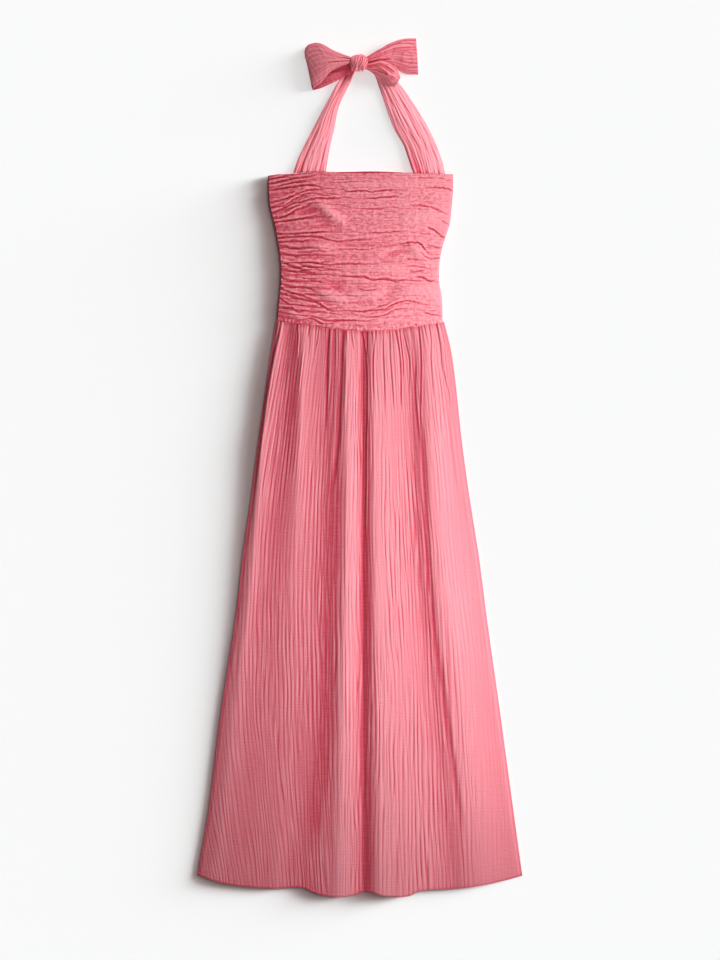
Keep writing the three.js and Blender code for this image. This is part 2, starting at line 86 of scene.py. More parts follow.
# Neckline, ruching creases and waist seam from top to bottom: drop below the neckline's highest point at
# five places across the panel, and depth of the crease at the left, in the middle and at the right
RUCHING_PLACES = [-1, -0.45, 0, 0.42, 1]
RUCHING = [
    ([6, 0, 2, 1, 4], [0, 0, 0]),
    ([12, 6, 8, 8, 10], [2.2, 0.6, 0.8]),
    ([20, 12.5, 14, 15, 17], [2, 0.7, 1]),
    ([31, 22, 22.5, 22, 22], [2.2, 0.8, 1.2]),
    ([41, 30, 33, 31, 29], [1.5, 2, 0.8]),
    ([51, 36.5, 47, 43, 40], [2.2, 2.2, 0.8]),
    ([60.5, 43.5, 55, 52, 50], [2, 1, 0.8]),
    ([71.5, 54, 63.5, 62, 70], [2.2, 1.5, 1.8]),
    ([79.5, 64, 74, 74.5, 79], [1.5, 0.8, 0.8]),
    ([87.5, 78, 84.5, 83, 88], [2.6, 0.8, 0.8]),
    ([96, 94, 94.5, 92.5, 99], [1.2, 0.8, 0.8]),
    ([107, 104.5, 104, 103, 112], [2, 1.2, 2.2]),
    ([114, 112, 118, 111, 119], [2, 2, 0.8]),
    ([121, 120, 126.5, 119, 125], [1.5, 1, 1]),
    ([130.5, 133, 135, 127, 132], [2.5, 1, 3]),
    ([141, 145, 145, 138, 143.5], [2.5, 0.8, 2]),
    ([156, 157, 161, 155, 155], [3, 1.5, 1]),
    ([163.5, 164, 168, 164, 162.5], [3, 1, 0.8]),
    ([171, 170, 175, 172.5, 170], [2.5, 1.5, 1]),
    ([180.5, 177, 183, 188, 187], [2, 3, 2.8]),
    ([191, 189.5, 194, 195.5, 195], [2.5, 1, 0.8]),
    ([199.5, 201, 203, 203, 204], [2, 1, 0.8]),
    ([208, 214, 214.5, 213, 214], [2.5, 2, 1]),
    ([217, 225, 227, 219.5, 223], [2, 1.5, 1]),
    ([226, 236, 241, 228, 232], [2, 3, 2.2]),
    ([234, 243, 247.5, 237, 242], [2.5, 1.5, 1.8]),
    ([243, 252, 257.5, 250, 249], [2.2, 2.2, 1.2]),
    ([250, 260, 266, 262.5, 254.5], [1.5, 1.5, 1]),
    ([256, 268, 274, 271.5, 258.5], [0.5, 0.5, 0.5]),
]

SKIRT_SIDES = dict(
    y=[-743, -706, -590, -420, -260, -155, -60, 40, 150, 205, 258],
    left=[285.5, 281, 261.5, 240, 215, 203, 189.5, 176.5, 161, 153, 145],
    right=[285.5, 281, 265, 242, 219.5, 206, 191, 177, 165, 157, 144],
)
HEM = dict(
    x=[-281, -250, -219, -151, -99, -73, -43, -16, 12, 44, 81, 103, 156, 201, 246, 281],
    y=[-706, -716, -723, -729, -728, -738, -743, -741, -734.5, -741, -742, -733, -730, -725, -716, -707],
)

# The skirt's large folds from left to right, ridge and valley in turn: X and height at five heights on the
# skirt, and where the slope before it is steepest (1 at its start, -1 at its end, 0 in the middle)
FOLD_Y = [-736, -428, -169, 91, 229]
FOLDS = [
    ([-249, -214, -185, -164, -138], [6, 6.6, 7.8, 8.8, 8.5], 0),
    ([-197, -180, -157, -132, -126], [6, 5.6, 5, 5, 6], 1),
    ([-145, -126, -114, -102, -98], [6, 5.8, 7, 10, 10.5], -0.4),
    ([-121, -73, -69, -64, -64], [4.5, 4.5, 4.5, 4.8, 7], 1),
    ([-38, -33, -25, -23, -24], [10, 12, 12.6, 12.4, 11.5], -0.9),
    ([7, 6, 5, 5, 5], [4, 4, 4, 4, 6], -1),
    ([37, 34, 28, 24, 24], [12.3, 12.3, 12.5, 12, 11], 1),
    ([164, 133, 103, 92, 88], [4.6, 4.8, 5, 5.5, 8], 0.3),
    ([204, 171, 140, 122, 111], [6.8, 8.8, 11, 10.5, 9.5], 0.9),
]

# Single creases of the skirt: heights Y from low to high, X there, half width, and depth (below 0, a ridge)
SKIRT_CREASES = [
    ([168, 196, 219, 236, 252], [-155, -150.5, -144.5, -140, -137.5], 2, 2.6),
    ([180, 205, 236], [-106.7, -106.7, -105], 1.3, -2.2),
    ([215, 246], [-109, -108], 1.2, 2.2),
    ([125, 170, 215], [-105.5, -101.5, -96.5], 1.3, -2.4),
    ([225, 243], [-89.5, -88], 1.3, 2.4),
    ([200, 243], [-77, -71], 1.3, 1.6),
    ([40, 117, 186, 212, 238], [-59, -58, -57, -56, -53.5], 2.4, 3.2),
    ([160, 236], [-40, -40.5], 1.2, -1.8),
    ([-40, 50, 100, 160, 205, 235], [-46, -38, -35.5, -32, -31, -28], 3.4, 3.6),
    ([200, 222, 240], [-10.5, -14, -16], 1.3, 1.8),
    ([-150, -60, 60, 117, 165, 190, 215, 236], [6.5, 8.5, 10, 11, 11, 8.7, 6.2, 2.4], 1.8, 3),
    ([185, 206, 237], [10.5, 12, 13], 1.2, 2.2),
    ([105, 157, 186, 214, 238], [22.5, 22.3, 22.3, 24.7, 28.4], 1.2, 1.8),
    ([80, 144, 200, 240], [43, 42, 40, 39], 1.3, 1.9),
    ([90, 119, 193, 240], [58, 57, 52, 50.7], 1.3, 1.9),
    ([80, 119, 162, 200, 235], [71.5, 70.4, 70.4, 68, 61.8], 1.3, 2.4),
    ([140, 175, 206, 237], [73.5, 74.2, 71.6, 68], 1.2, 2.2),
    ([120, 186, 206, 232], [85, 85.3, 81.3, 75.4], 1.3, 2.2),
    ([30, 82, 125, 157, 186, 212], [104, 98.6, 95.2, 95.2, 96.4, 96.4], 2, 2.4),
    ([50, 82, 144, 193, 243], [106, 103.8, 105, 105, 101.4], 1.4, 2.6),
    ([100, 132, 188, 219, 242], [127, 126, 122.3, 122.8, 119.9], 1.2, 1.8),
    ([90, 124, 150, 176, 212, 247], [156, 154.5, 148.3, 141.9, 138.4, 132.2], 1.3, 1.6),
    ([-640, -600, -437, -350, -274, -160, -4, 90], [176, 173, 150, 138, 128, 117.6, 110.7, 105], 5, 1.8),
    ([-56, 30, 117], [169, 159, 150], 2.5, 0.6),
    ([-480, -400, -330], [-22, -23, -25], 1.6, -1.4),
]

# Bands of painted shade, redder cloth, in the skirt's valleys: heights Y from low to high, X there, half
# width and strength
SKIRT_SHADE_BANDS = [
    ([-20, 60, 150, 225], [-119, -117, -116, -112], 9, 0.3),
    ([-680, -430, -160, 40, 130, 230], [-84, -62, -50, -42, -38, -36], 15, 0.2),
    ([-760, -430, -160, 40, 130, 230], [9, 10, 9, 11, 11, 10], 5, 0.2),
]

# Soft swells and hollows of the bodice: X, Y, half length, half width, turn in degrees, height
BODICE_SWELLS = [
    (-54, 441, 30, 9, -36, 3.6),
    (-92, 441, 14, 7, 10, -1.4),
    (-72, 382, 26, 9, -4, 2.4),
    (-52, 296, 28, 9, -20, 2.6),
    (-112, 264, 17, 6, -15, 2),
    (104, 431, 38, 15, 8, 2.4),
    (100, 371, 20, 9, -42, 2.6),
    (35, 343, 60, 8, 2, 1.6),
    (106, 306, 34, 13, 0, 2.2),
    (14, 298, 36, 9, 0, 1.8),
    (20, 384, 50, 6, 0, -1.4),
    (58, 369, 22, 7, 26, -1.6),
    (48, 299, 17, 9, 32, -1.6),
    (-43, 316, 13, 10, 0, -1.4),
    (-112, 415, 30, 8, 4, 1),
    (20, 490, 70, 6, 0, 1.2),
]

# Creases of the bodice from top to bottom: X from left to right, Y there, half width and depth
BODICE_CREASES = [
    ([-158, -138, -116], [497, 502, 508], 1.7, 1.8),
    ([-158, -128, -106, -78], [490, 497, 500, 503], 1.8, 2.4),
    ([80, 107, 138, 148], [500, 500, 500, 497], 1.4, 1.3),
    ([-147, -122, -100, -80], [484, 491, 493, 495], 1.8, 2.4),
    ([-156, -126, -97, -80, -68, -54], [479, 484, 488, 487, 484, 480], 1.8, 2.8),
    ([-70, -40, 0, 40], [494, 492, 494, 493], 1.4, 1.2),
    ([108, 128, 147, 161], [483, 484, 483, 478], 1.7, 2.2),
    ([-50, -34, -22, 5, 20, 42, 78], [478, 480, 477, 478, 476, 479, 479], 1.3, 2.2),
    ([-154, -133, -112, -100, -83, -58], [458, 463, 472, 476, 480, 480], 1.8, 2),
    ([-78, -62, -48], [472, 470, 468], 1.6, 2.4),
    ([-152, -132, -115, -97, -80], [450, 452, 463, 470, 475], 1.9, 2.6),
    ([-150, -129, -115, -102, -83, -56, -28, -9], [441, 450, 457, 459, 464, 465, 466, 464], 1.8, 2.6),
    ([5, 20, 35, 53, 72], [462, 465, 466, 468, 469], 1.6, 2),
    ([63, 98, 121, 150], [450, 453, 450, 438], 1.7, 1.6),
    ([-150, -128, -113, -92, -79], [431, 435, 444, 452, 458], 2.1, 3),
    ([-12, 17, 50], [447, 447, 446], 1.4, 1.2),
    ([-148, -115, -92, -67], [424, 428, 432, 436], 1.6, 2.2),
    ([138, 144, 151], [429, 425, 421], 1.5, 1.8),
    ([112, 128, 143], [416, 410, 398], 1.8, 2.6),
    ([6, 16, 39, 61, 85], [412, 407, 405, 407, 409], 1.6, 1.9),
    ([-142, -108, -70, -45], [404, 404, 407, 407], 1.9, 2.4),
    ([-140, -126, -77, -60, -40, 0, 35], [397, 399, 399, 395, 391, 394, 396], 1.9, 2.2),
    ([-140, -112, -100, -82], [390, 392, 390, 396], 1.7, 2),
    ([-142, -128, -116, -97], [385, 382, 379, 378], 2.1, 2.8),
    ([55, 73, 92, 106, 114, 129], [384, 387, 389, 385, 374, 367], 2.1, 3.4),
    ([110, 124, 134], [384, 383, 380], 1.6, 2),
    ([101, 110, 121, 136], [377, 366, 361, 362], 1.8, 2.6),
    ([-52, -40, -10, 8, 27, 45], [380, 377, 377, 376, 379, 380], 1.4, 1.2),
    ([-115, -97, -70, -50], [372, 372, 374, 373], 1.5, 1.4),
    ([-140, -119, -100], [372, 367, 364], 1.8, 2.2),
    ([70, 102, 135], [362, 359, 357], 1.4, 1),
    ([-125, -108, -83, -60, -26, 10, 38], [362, 355, 354, 350, 352, 352, 353], 1.8, 2.2),
    ([-138, -126, -112, -97, -85], [356, 351, 346, 341, 341], 2.3, 3.6),
    ([-113, -97, -78, -64], [352, 349, 345, 343], 1.9, 3),
    ([70, 98, 118, 134], [347, 348, 344, 343], 1.4, 1.3),
    ([-80, -60, -28], [348, 344, 340], 1.6, 1.8),
    ([82, 104, 116], [338, 340, 343], 1.6, 1.8),
    ([-132, -118, -106, -70], [343, 339, 338, 335], 1.9, 2.8),
    ([-56, -35, -14, 5, 20, 42, 64, 77, 95], [336, 331, 330, 330, 324, 326, 321, 325, 328], 2, 2.5),
    ([88, 107, 118, 134], [328, 329, 323, 321], 1.8, 2.4),
    ([-141, -127, -110], [331, 325, 322], 2, 3),
    ([-110, -83, -70], [329, 326, 326], 1.4, 1.3),
    ([-137, -119, -93, -75], [318, 313, 311, 305], 1.8, 2.6),
    ([-8, 14, 38], [309, 306, 310], 1.4, 1.4),
    ([-139, -119, -102, -83, -61], [310, 302, 297, 290, 286], 1.9, 2.8),
    ([-137, -109, -88, -71, -54, -36], [301, 293, 288, 283, 272, 270], 1.9, 2.8),
    ([-44, -10, 20, 42, 60, 78, 95, 112, 128], [270, 269, 271, 274, 283, 288, 286, 282, 279], 1.9, 2.6),
    ([-98, -78, -66], [280, 279, 284], 1.8, 1.6),
    ([-141, -128, -114], [295, 285, 279], 1.7, 1.8),
    ([-140, -117, -110, -94], [277, 275, 270, 271], 1.9, 2.8),
    ([-10, 20, 42, 58, 78], [262, 260, 263, 272, 276], 1.7, 2),
    ([103, 121, 140], [270, 265, 262], 1.7, 2),
    ([-96, -77, -57, -26, 6], [265, 259, 254, 254, 254], 1.8, 2.6),
    ([-108, -83, -69, -54], [255, 257, 250, 247], 1.7, 2.4),
]

# The ties' sections, from the bodice or the knot outwards: one edge, the other edge and the middle's rise,
# with the columns and rows of its grid
STRAP_LEFT = dict(
    edge=[(-115.4, 510, 3.6), (-109, 530, 1.4), (-96.5, 558, 0.75), (-82.5, 585, 0.75), (-64, 621, 0.75),
          (-43, 659, 0.75), (-31, 678, 1.6), (-20, 694, 3.6)],
    other=[(-59.2, 511.7, 4.2), (-56.4, 530.4, 1.6), (-51.4, 558.4, 0.75), (-44.3, 587, 0.75),
           (-36, 626, 0.75), (-18, 664, 1), (-11, 681, 2), (-4, 695, 3.6)],
    crown=[2.5, 4, 5, 5, 4.5, 3.5, 2.6, 1.5],
    grid=(70, 160),
)
STRAP_RIGHT = dict(
    edge=[(91.7, 509.9, 4.2), (85, 530.4, 1.6), (75.5, 558, 0.75), (59.5, 585, 0.75), (45.8, 621, 0.75),
          (33, 658, 0.75), (24, 680, 2.5), (2, 694, 6)],
    other=[(147.2, 508.1, 3.6), (142.4, 530, 1.4), (132, 559, 0.75), (118, 589, 0.75), (94.6, 628, 0.75),
           (66.5, 667, 0.75), (43, 684, 2), (12, 700, 6)],
    crown=[2.5, 4.5, 5.5, 5.5, 5, 3.5, 2.5, 1.5],
    grid=(70, 160),
)
LOOP_LEFT = dict(
    edge=[(-8, 703, 9), (-24, 711, 9), (-48, 721, 6.5), (-72, 731.5, 2.5), (-89, 730, 0.8), (-96, 719, 4.2),
          (-90, 730.5, 8.2), (-70, 733, 12.5), (-45, 719.5, 16), (-21, 710, 17.5), (-8, 705, 18)],
    other=[(-8, 690, 9), (-26, 676, 8.8), (-48, 664.5, 8.4), (-68, 656.5, 3.5), (-79.5, 654, 1),
           (-82, 654.5, 4.2), (-79, 657, 8.2), (-66, 666, 12), (-50, 683.5, 15), (-24, 695, 17),
           (-8, 697, 18)],
    crown=[0, -1, -1, -0.5, 0, 0, 1, 3.5, 3.5, 1.5, 0],
    grid=(60, 240),
)
TAIL_RIGHT = dict(
    edge=[(-2, 696, 10), (13, 695, 9), (36, 694, 6), (58, 691, 3.2), (80, 681.5, 1.5), (101, 680.5, 0.8)],
    other=[(-2, 703, 10), (10, 709, 9), (33, 723, 8), (59, 737, 6), (79, 742.4, 4), (97, 743, 2)],
    crown=[0, 1, 1.5, 3, 5, 4],
    grid=(90, 120),
)
LOOP_RIGHT = dict(
    edge=[(-2, 694, 14.5), (15, 685.5, 13.5), (31, 680.5, 12.5), (47, 669, 11), (62, 659.5, 9.5)],
    other=[(-2, 700, 14.5), (14, 697, 14.5), (37, 703, 13.5), (57, 695, 12.5), (72.5, 679, 11)],
    crown=[0, 1.5, 3.5, 4, 2.5],
    grid=(90, 120),
)

# Creases of the ties placed one by one: t across the tie at its start, middle and end, reach along it as
# shares of its length, half width as a share of its width, and depth
FOLDS_STRAP_LEFT = [
    ([0.5, 0.42, 0.38], (0.6, 1.05), 0.1, 4.5),
    ([0.3, 0.22, 0.16], (0.6, 1.05), 0.07, -2.2),
    ([0.2, 0.25, 0.3], (-0.1, 0.5), 0.05, 1.8),
    ([0.85, 0.7, 0.6], (0.1, 0.7), 0.04, 1.2),
]
FOLDS_STRAP_RIGHT = [
    ([0.3, 0.38, 0.5], (-0.1, 0.45), 0.05, 1.5),
    ([0.62, 0.6, 0.7], (0.2, 0.95), 0.04, 0.8),
    ([0.1, 0.2, 0.3], (0.5, 1), 0.05, 1.2),
]
FOLDS_LOOP_LEFT = [
    ([0.5, 0.5, 0.62], (0.72, 1.05), 0.04, 2.4),
    ([0.5, 0.5, 0.25], (0.8, 1.05), 0.05, 2.4),
    ([0.4, 0.35, 0.35], (0.05, 0.4), 0.06, 2.4),
    ([0.7, 0.62, 0.55], (0.05, 0.4), 0.05, 1.8),
]
FOLDS_TAIL = [
    ([0.75, 0.86, 0.9], (-0.1, 0.75), 0.03, 2.6),
    ([0.5, 0.36, 0.3], (-0.1, 0.6), 0.05, 3.4),
    ([0.62, 0.58, 0.62], (-0.1, 0.5), 0.035, 2.4),
    ([0.28, 0.5, 0.6], (0.12, 0.5), 0.04, 2),
    ([0.6, 0.7, 0.72], (0.3, 0.95), 0.03, 0.9),
]
FOLDS_LOOP_RIGHT = [
    ([0.85, 0.66, 0.75], (0.1, 0.9), 0.05, 4.4),
    ([0.5, 0.42, 0.26], (-0.1, 0.8), 0.055, 4.6),
    ([0.2, 0.16, 0.5], (0.25, 0.95), 0.045, 3.6),
    ([0.66, 0.54, 0.42], (0.2, 0.85), 0.07, -2.4),
    ([0.3, 0.7, 0.9], (0.35, 0.75), 0.05, 2.6),
]
KNOT = dict(x=-2.5, y=698.5, z=13.6, half_width=16.5, half_height=15, half_depth=12.6)


# Curves, noise and grids

def mix(a, b, share):
    return a + (b - a) * share


def ease(share):
    share = np.clip(share, 0, 1)
    return share * share * (3 - 2 * share)


def along(places, values, where):
    """A smooth curve through values at rising places, read at every point of where."""
    places = np.asarray(places, float)
    values = np.asarray(values, float)
    where = np.clip(where, places[0], places[-1])
    k = np.clip(np.searchsorted(places, where, side="right") - 1, 0, len(places) - 2)
    slopes = np.empty_like(values)
    slopes[1:-1] = (values[2:] - values[:-2]) / (places[2:] - places[:-2])
    slopes[0] = (values[1] - values[0]) / (places[1] - places[0])
    slopes[-1] = (values[-1] - values[-2]) / (places[-1] - places[-2])
    span = places[k + 1] - places[k]
    s = (where - places[k]) / span
    return (
        (2 * s**3 - 3 * s**2 + 1) * values[k]
        + (3 * s**2 - 2 * s**3) * values[k + 1]
        + (s**3 - 2 * s**2 + s) * span * slopes[k]
        + (s**3 - s**2) * span * slopes[k + 1]
    )


def noise(x, y, seed):
    """Smooth seeded noise from -1 to 1, with one bump or hollow for each unit of x and of y."""
    table = np.random.default_rng(seed).random((256, 256)) * 2 * np.pi
    x0 = np.floor(x).astype(int)
    y0 = np.floor(y).astype(int)
    fx = x - x0
    fy = y - y0

    def corner(dx, dy):
        angle = table[(x0 + dx) % 256, (y0 + dy) % 256]
        return np.cos(angle) * (fx - dx) + np.sin(angle) * (fy - dy)

    blend_x = fx**3 * (fx * (fx * 6 - 15) + 10)
    blend_y = fy**3 * (fy * (fy * 6 - 15) + 10)
    low = mix(corner(0, 0), corner(1, 0), blend_x)
    high = mix(corner(0, 1), corner(1, 1), blend_x)
    return 1.5 * mix(low, high, blend_y)


def creased(x, y, seed):
    """Rounded ridges from 0 to about 1 that meet in sharp, branching troughs."""
    return np.minimum(np.abs(noise(x, y, seed)) * 1.6, 1.2) ** 0.75


def crinkled(lane, y, pitch, seed):
    """Side by side crinkles of about one pitch, each rounded, between sharp troughs that wander and fade."""
    wander = noise(lane / (pitch * 6), y / 260, seed)
    wander = wander + 0.35 * noise(lane / (pitch * 1.8), y / 110, seed + 1)
    wave = np.abs(np.sin(np.pi * (lane / pitch + wander))) ** CRINKLE_ROUNDING
    strength = np.clip(0.75 + 0.7 * noise(lane / (pitch * 1.4), y / 75, seed + 2), 0.25, 1.2)
    return (wave - CRINKLE_MEAN) * strength


def creases(table, at, across, sewn_from, sewn_to, lip=0.35):
    """Relief of a table of creases, each a trough with a low lip beside it. One fades out at both its ends,
    unless an end lies beyond sewn_from or sewn_to."""
    longest_fade, fade_share, lip_place = 60, 0.35, 1.9
    relief = np.zeros_like(at)
    for places, values, width, depth in table:
        fade = min(longest_fade, fade_share * (places[-1] - places[0]))
        inside = np.ones_like(at)
        if places[0] > sewn_from:
            inside *= ease((at - places[0]) / fade)
        if places[-1] < sewn_to:
            inside *= ease((places[-1] - at) / fade)
        offset = (across - along(places, values, at)) / width
        relief -= depth * inside * (np.exp(-(offset**2)) - lip * np.exp(-((offset - lip_place) ** 2)))
    return relief


def swells(x, y, table):
    """Relief of a table of long, turned, soft swells and hollows."""
    relief = np.zeros_like(x)
    for at_x, at_y, half_length, half_width, turn, height in table:
        angle = np.radians(turn)
        lengthwise = (x - at_x) * np.cos(angle) + (y - at_y) * np.sin(angle)
        crosswise = (y - at_y) * np.cos(angle) - (x - at_x) * np.sin(angle)
        relief += height * np.exp(-((lengthwise / half_length) ** 2) - (crosswise / half_width) ** 2)
    return relief


def blurred(z, rows, columns):
    """The average of z over windows of so many rows and columns, both odd."""
    for axis, width in enumerate((rows, columns)):
        padding = [(0, 0), (0, 0)]
        padding[axis] = (width // 2 + 1, width // 2)
        total = np.cumsum(np.pad(z, padding, mode="edge"), axis)
        high = np.take(total, range(width, total.shape[axis]), axis)
        low = np.take(total, range(total.shape[axis] - width), axis)
        z = (high - low) / width
    return z


def hollows(z, near, wide, near_share=0.62):
    """About 0 on ridges and 1 in troughs: how far z lies below its near and its wide surroundings, for
    painted shade in the troughs.
    """
    level, wide_share = 0.4, 0.12
    near_depth = blurred(z, *near) - z
    wide_depth = blurred(z, *wide) - z
    return level + near_share * near_depth + wide_share * wide_depth


def lee(z, x, columns):
    """How steeply the smoothed cloth rises towards +X, so that it faces away from the main light: a measure
    for painted shade.
    """
    towards_light, steepest = -0.09, 0.32
    slope = np.gradient(blurred(z, 3, columns), axis=1) / np.gradient(x, axis=1)
    return np.clip(slope, towards_light, steepest)


def new_object(name, points, faces, flat, painted_shading, crinkle):
    """A smooth mesh in metres. Its UVs run across and along the crinkles of the cloth."""
    mesh = bpy.data.meshes.new(name)
    mesh.from_pydata((points * MM).tolist(), [], faces.tolist())
    uv = mesh.uv_layers.new(name="cloth")
    corners = np.empty(len(mesh.loops), int)
    mesh.loops.foreach_get("vertex_index", corners)
    uv.data.foreach_set("uv", (flat[corners] * MM).ravel())
    # This attribute carries painted shade and painted light into the material
    for key, values in (("painted_shading", painted_shading), ("crinkle", crinkle)):
        attribute = mesh.attributes.new(key, "FLOAT", "POINT")
        attribute.data.foreach_set("value", np.clip(values, 0, 1.5).astype(np.float32))
    mesh.polygons.foreach_set("use_smooth", np.ones(len(mesh.polygons), bool))
    mesh.update()
    piece = bpy.data.objects.new(name, mesh)
    bpy.context.scene.collection.objects.link(piece)
    return piece


def grid_faces(rows, columns, start=0, flip=False):
    corner = start + np.arange(rows * columns).reshape(rows, columns)
    around = [corner[:-1, :-1], corner[:-1, 1:], corner[1:, 1:], corner[1:, :-1]]
    faces = np.stack(around, -1).reshape(-1, 4)
    return faces[:, ::-1] if flip else faces


def sheet_object(name, points, flat, painted_shading, crinkle):
    """One open sheet. It faces up where its rows run towards +Y and its columns towards +X."""
    faces = grid_faces(*points.shape[:2])
    points, flat = points.reshape(-1, 3), flat.reshape(-1, 2)
    return new_object(name, points, faces, flat, painted_shading.ravel(), crinkle.ravel())


def shell_object(name, top, bottom, flat, painted_shading, crinkle):
    """A closed thin shell between two grids, which share their borders' outline."""
    rows, columns = top.shape[:2]
    count = rows * columns
    upper = np.arange(count).reshape(rows, columns)
    border = np.concatenate([upper[0, :-1], upper[:-1, -1], upper[-1, :0:-1], upper[:0:-1, 0]])
    following = np.roll(border, -1)
    rim = np.stack([border + count, following + count, following, border], -1)
    faces = np.concatenate([grid_faces(rows, columns), grid_faces(rows, columns, count, flip=True), rim])
    points = np.concatenate([top.reshape(-1, 3), bottom.reshape(-1, 3)])
    flat = np.tile(flat.reshape(-1, 2), (2, 1))
    return new_object(name, points, faces, flat, np.tile(painted_shading.ravel(), 2), np.tile(crinkle.ravel(), 2))


# Bodice

def ruching_drop(row, u):
    drops, _ = RUCHING[row]
    return along(RUCHING_PLACES, drops, u)


def ruching_depth(row, u):
    _, (left, middle, right) = RUCHING[row]
    return mix(middle, np.where(u < 0, left, right), ease(np.minimum(1, np.abs(u) * 1.3)))


def bodice_x(u, drop):
    left = along(BODICE_SIDES["drop"], BODICE_SIDES["left"], drop)
    right = along(BODICE_SIDES["drop"], BODICE_SIDES["right"], drop)
    return np.where(u < 0, u * left, u * right)


def bodice_dome(u):
    return BODICE_EDGE_TOP + BODICE_RISE * (1 - np.abs(u) ** BODICE_ROUNDING)


def bodice_grid(columns, rows_a_band):
    """Places across the panel, with the drop, depth and share of the way to the next ruching crease."""
    u = np.linspace(-1, 1, columns)
    bands = len(RUCHING) - 1
    v = np.linspace(bands, 0, bands * rows_a_band + 1)[:, None]
    drops = np.stack([ruching_drop(row, u) for row in range(bands + 1)])
    depths = np.stack([ruching_depth(row, u) for row in range(bands + 1)])
    k = np.minimum(v.astype(int), bands - 1)[:, 0]
    s = v - k[:, None]
    drop = mix(drops[k], drops[k + 1], s)
    depth = mix(depths[k], depths[k + 1], s)
    return np.tile(u, (len(v), 1)), drop, depth, s


def make_bodice_front():
    u, drop, depth, s = bodice_grid(*BODICE_FRONT_GRID)
    x = bodice_x(u, drop)
    off_seams = ease(drop / 8) * ease((268 - drop) / 10)
    sway = 1.8 * noise(x / 26, drop / 34, 21) + 0.5 * noise(x / 6, drop / 14, 26)
    drop = drop + sway * off_seams
    y = NECKLINE_Y - drop

    # Ruched folds between the panel's long creases, deepest at the left
    depth = depth * np.clip(0.65 * depth - 0.15, 0, 1.4)
    strength = np.clip(0.85 + 0.9 * noise(x / 22, drop / 9, 22), 0.15, 1.5)
    puff = np.abs(np.sin(np.pi * s)) ** 0.6 - 0.7
    ruching = depth * strength * puff * mix(0.6, 1.2, ease(-u * 1.2))

    # Fine creases, crumples, broad waves, placed swells and placed creases
    fine = creased(x / 17, drop / 3.4, 23) - 0.45
    crushed = noise(x / 9, drop / 5.5, 36) + 0.6 * noise(x / 4.5, drop / 3, 24)
    broad = noise(x / 60, drop / 22, 27)
    soft = swells(x, y, BODICE_SWELLS) * off_seams
    wandering = y + 1.1 * noise(x / 6, drop / 6, 34)
    placed = creases(BODICE_CREASES, x, wandering, *BODICE_SEWN, BODICE_LIP) * mix(1, 1.3, ease(-u * 1.5))
    relief = ruching + 0.6 * fine + 0.78 * crushed + 0.8 * broad + 1.4 * soft + 0.95 * placed

    # Side seams, where the folds end in small scallops
    side = np.abs(u)
    z = bodice_dome(u) + relief * mix(1, 0.75, ease((side - 0.8) / 0.2))
    z = np.where(side > 0.985, mix(z, SIDE_SEAM_Z, ease((side - 0.985) / 0.015)), z)
    x = x + np.sign(u) * ease((side - 0.88) / 0.12) * puff * np.minimum(depth, 2) * 0.6

    # Puckers of the waist seam, and the neckline turned under
    hem = ease(1 - (drop[:1] - drop) / 14)
    z = z + 1.5 * hem * (creased(x / 7, drop / 16, 29) - 0.5)
    y = y - hem * (1.1 + 1.1 * noise(x / 17, 0 * x + 0.5, 30) + 0.8 * noise(x / 5, 0 * x + 3.5, 33))
    points = np.stack([x, y, z], -1)
    neckline_z, waist_z = 3.2, 5.5
    points[-1, :, 2] = neckline_z
    points[:3, :, 2] = mix(points[:3, :, 2], waist_z, np.array([[1], [0.45], [0.1]]))

    # Painted shade and light: redder in the creases, on slopes away from the light and towards the left,
    # paler on the swells and towards the right; redder along the neckline
    crinkle = 0.34 + 0.3 * noise(x / 20, drop / 14, 28)
    painted_shading = hollows(z, (7, 5), (35, 35), 0.7) + 1.2 * lee(z, x, 15) - 0.09 * soft - 0.15 * u
    painted_shading = painted_shading + 0.26 * ease((-u - 0.1) / 0.6)
    painted_shading = painted_shading - 0.06 * placed
    painted_shading[-3:] = 1.1
    return sheet_object("bodice_front_cloth", points, np.stack([y, x], -1), painted_shading, crinkle)


def make_bodice_back():
    """Behind the front panel, but for a sliver of its top edge between the ties, redder with painted shade.
    """
    u, drop, _, _ = bodice_grid(*BODICE_BACK_GRID)
    x = bodice_x(u, drop)
    y = NECKLINE_Y - drop
    at_top = drop < 6
    lift = 3.6 * np.exp(-(((x - 12) / 50) ** 2)) * at_top
    mirrored = creases(BODICE_CREASES, -x, y - 4, *BODICE_SEWN, BODICE_LIP)
    relief = 0.5 * creased(x / 30, drop / 5, 25) + 0.25 * mirrored - 0.1
    top = np.stack([x, y + lift, BACK_BODICE + 0 * x], -1)
    bottom = np.stack([x, y + lift, np.clip(0.4 - relief, 0, 1.2)], -1)
    # Painted shade: redder in the relief's hollows and on the sliver at the top
    painted_shading = 0.5 - 0.5 * relief + at_top
    return shell_object("bodice_back_cloth", top, bottom, np.stack([y, x], -1), painted_shading, 0.5 + 0 * x)


# Skirt

# How far the crinkles fan out at depths below the waist, as a share of their place at the waist, and how
# wide a strip beside each side seam is smooth
FAN_BELOW = [0, 190, 330, 500, 640, 780, 980]
FAN_LEFT = [1, 1.27, 1.39, 1.47, 1.47, 1.4, 1.24]
FAN_RIGHT = [1, 1.18, 1.28, 1.42, 1.5, 1.57, 1.62]
SMOOTH_BELOW = [0, 120, 300, 640, 980]
SMOOTH_RIGHT = [2, 16, 47, 60, 90]
SMOOTH_LEFT = [2, 8, 14, 22, 24]


def skirt_sides(y):
    left = -along(SKIRT_SIDES["y"], SKIRT_SIDES["left"], y)
    return left, along(SKIRT_SIDES["y"], SKIRT_SIDES["right"], y)


def waist_seam_y(u):
    return NECKLINE_Y - ruching_drop(len(RUCHING) - 1, u) - SEAM_GAP


def skirt_place(u, v, hem_short=0.0):
    y = mix(waist_seam_y(u), along(HEM["x"], HEM["y"], u * HEM_HALF_WIDTH) + hem_short, v)
    return mix(*skirt_sides(y), (u + 1) / 2), y


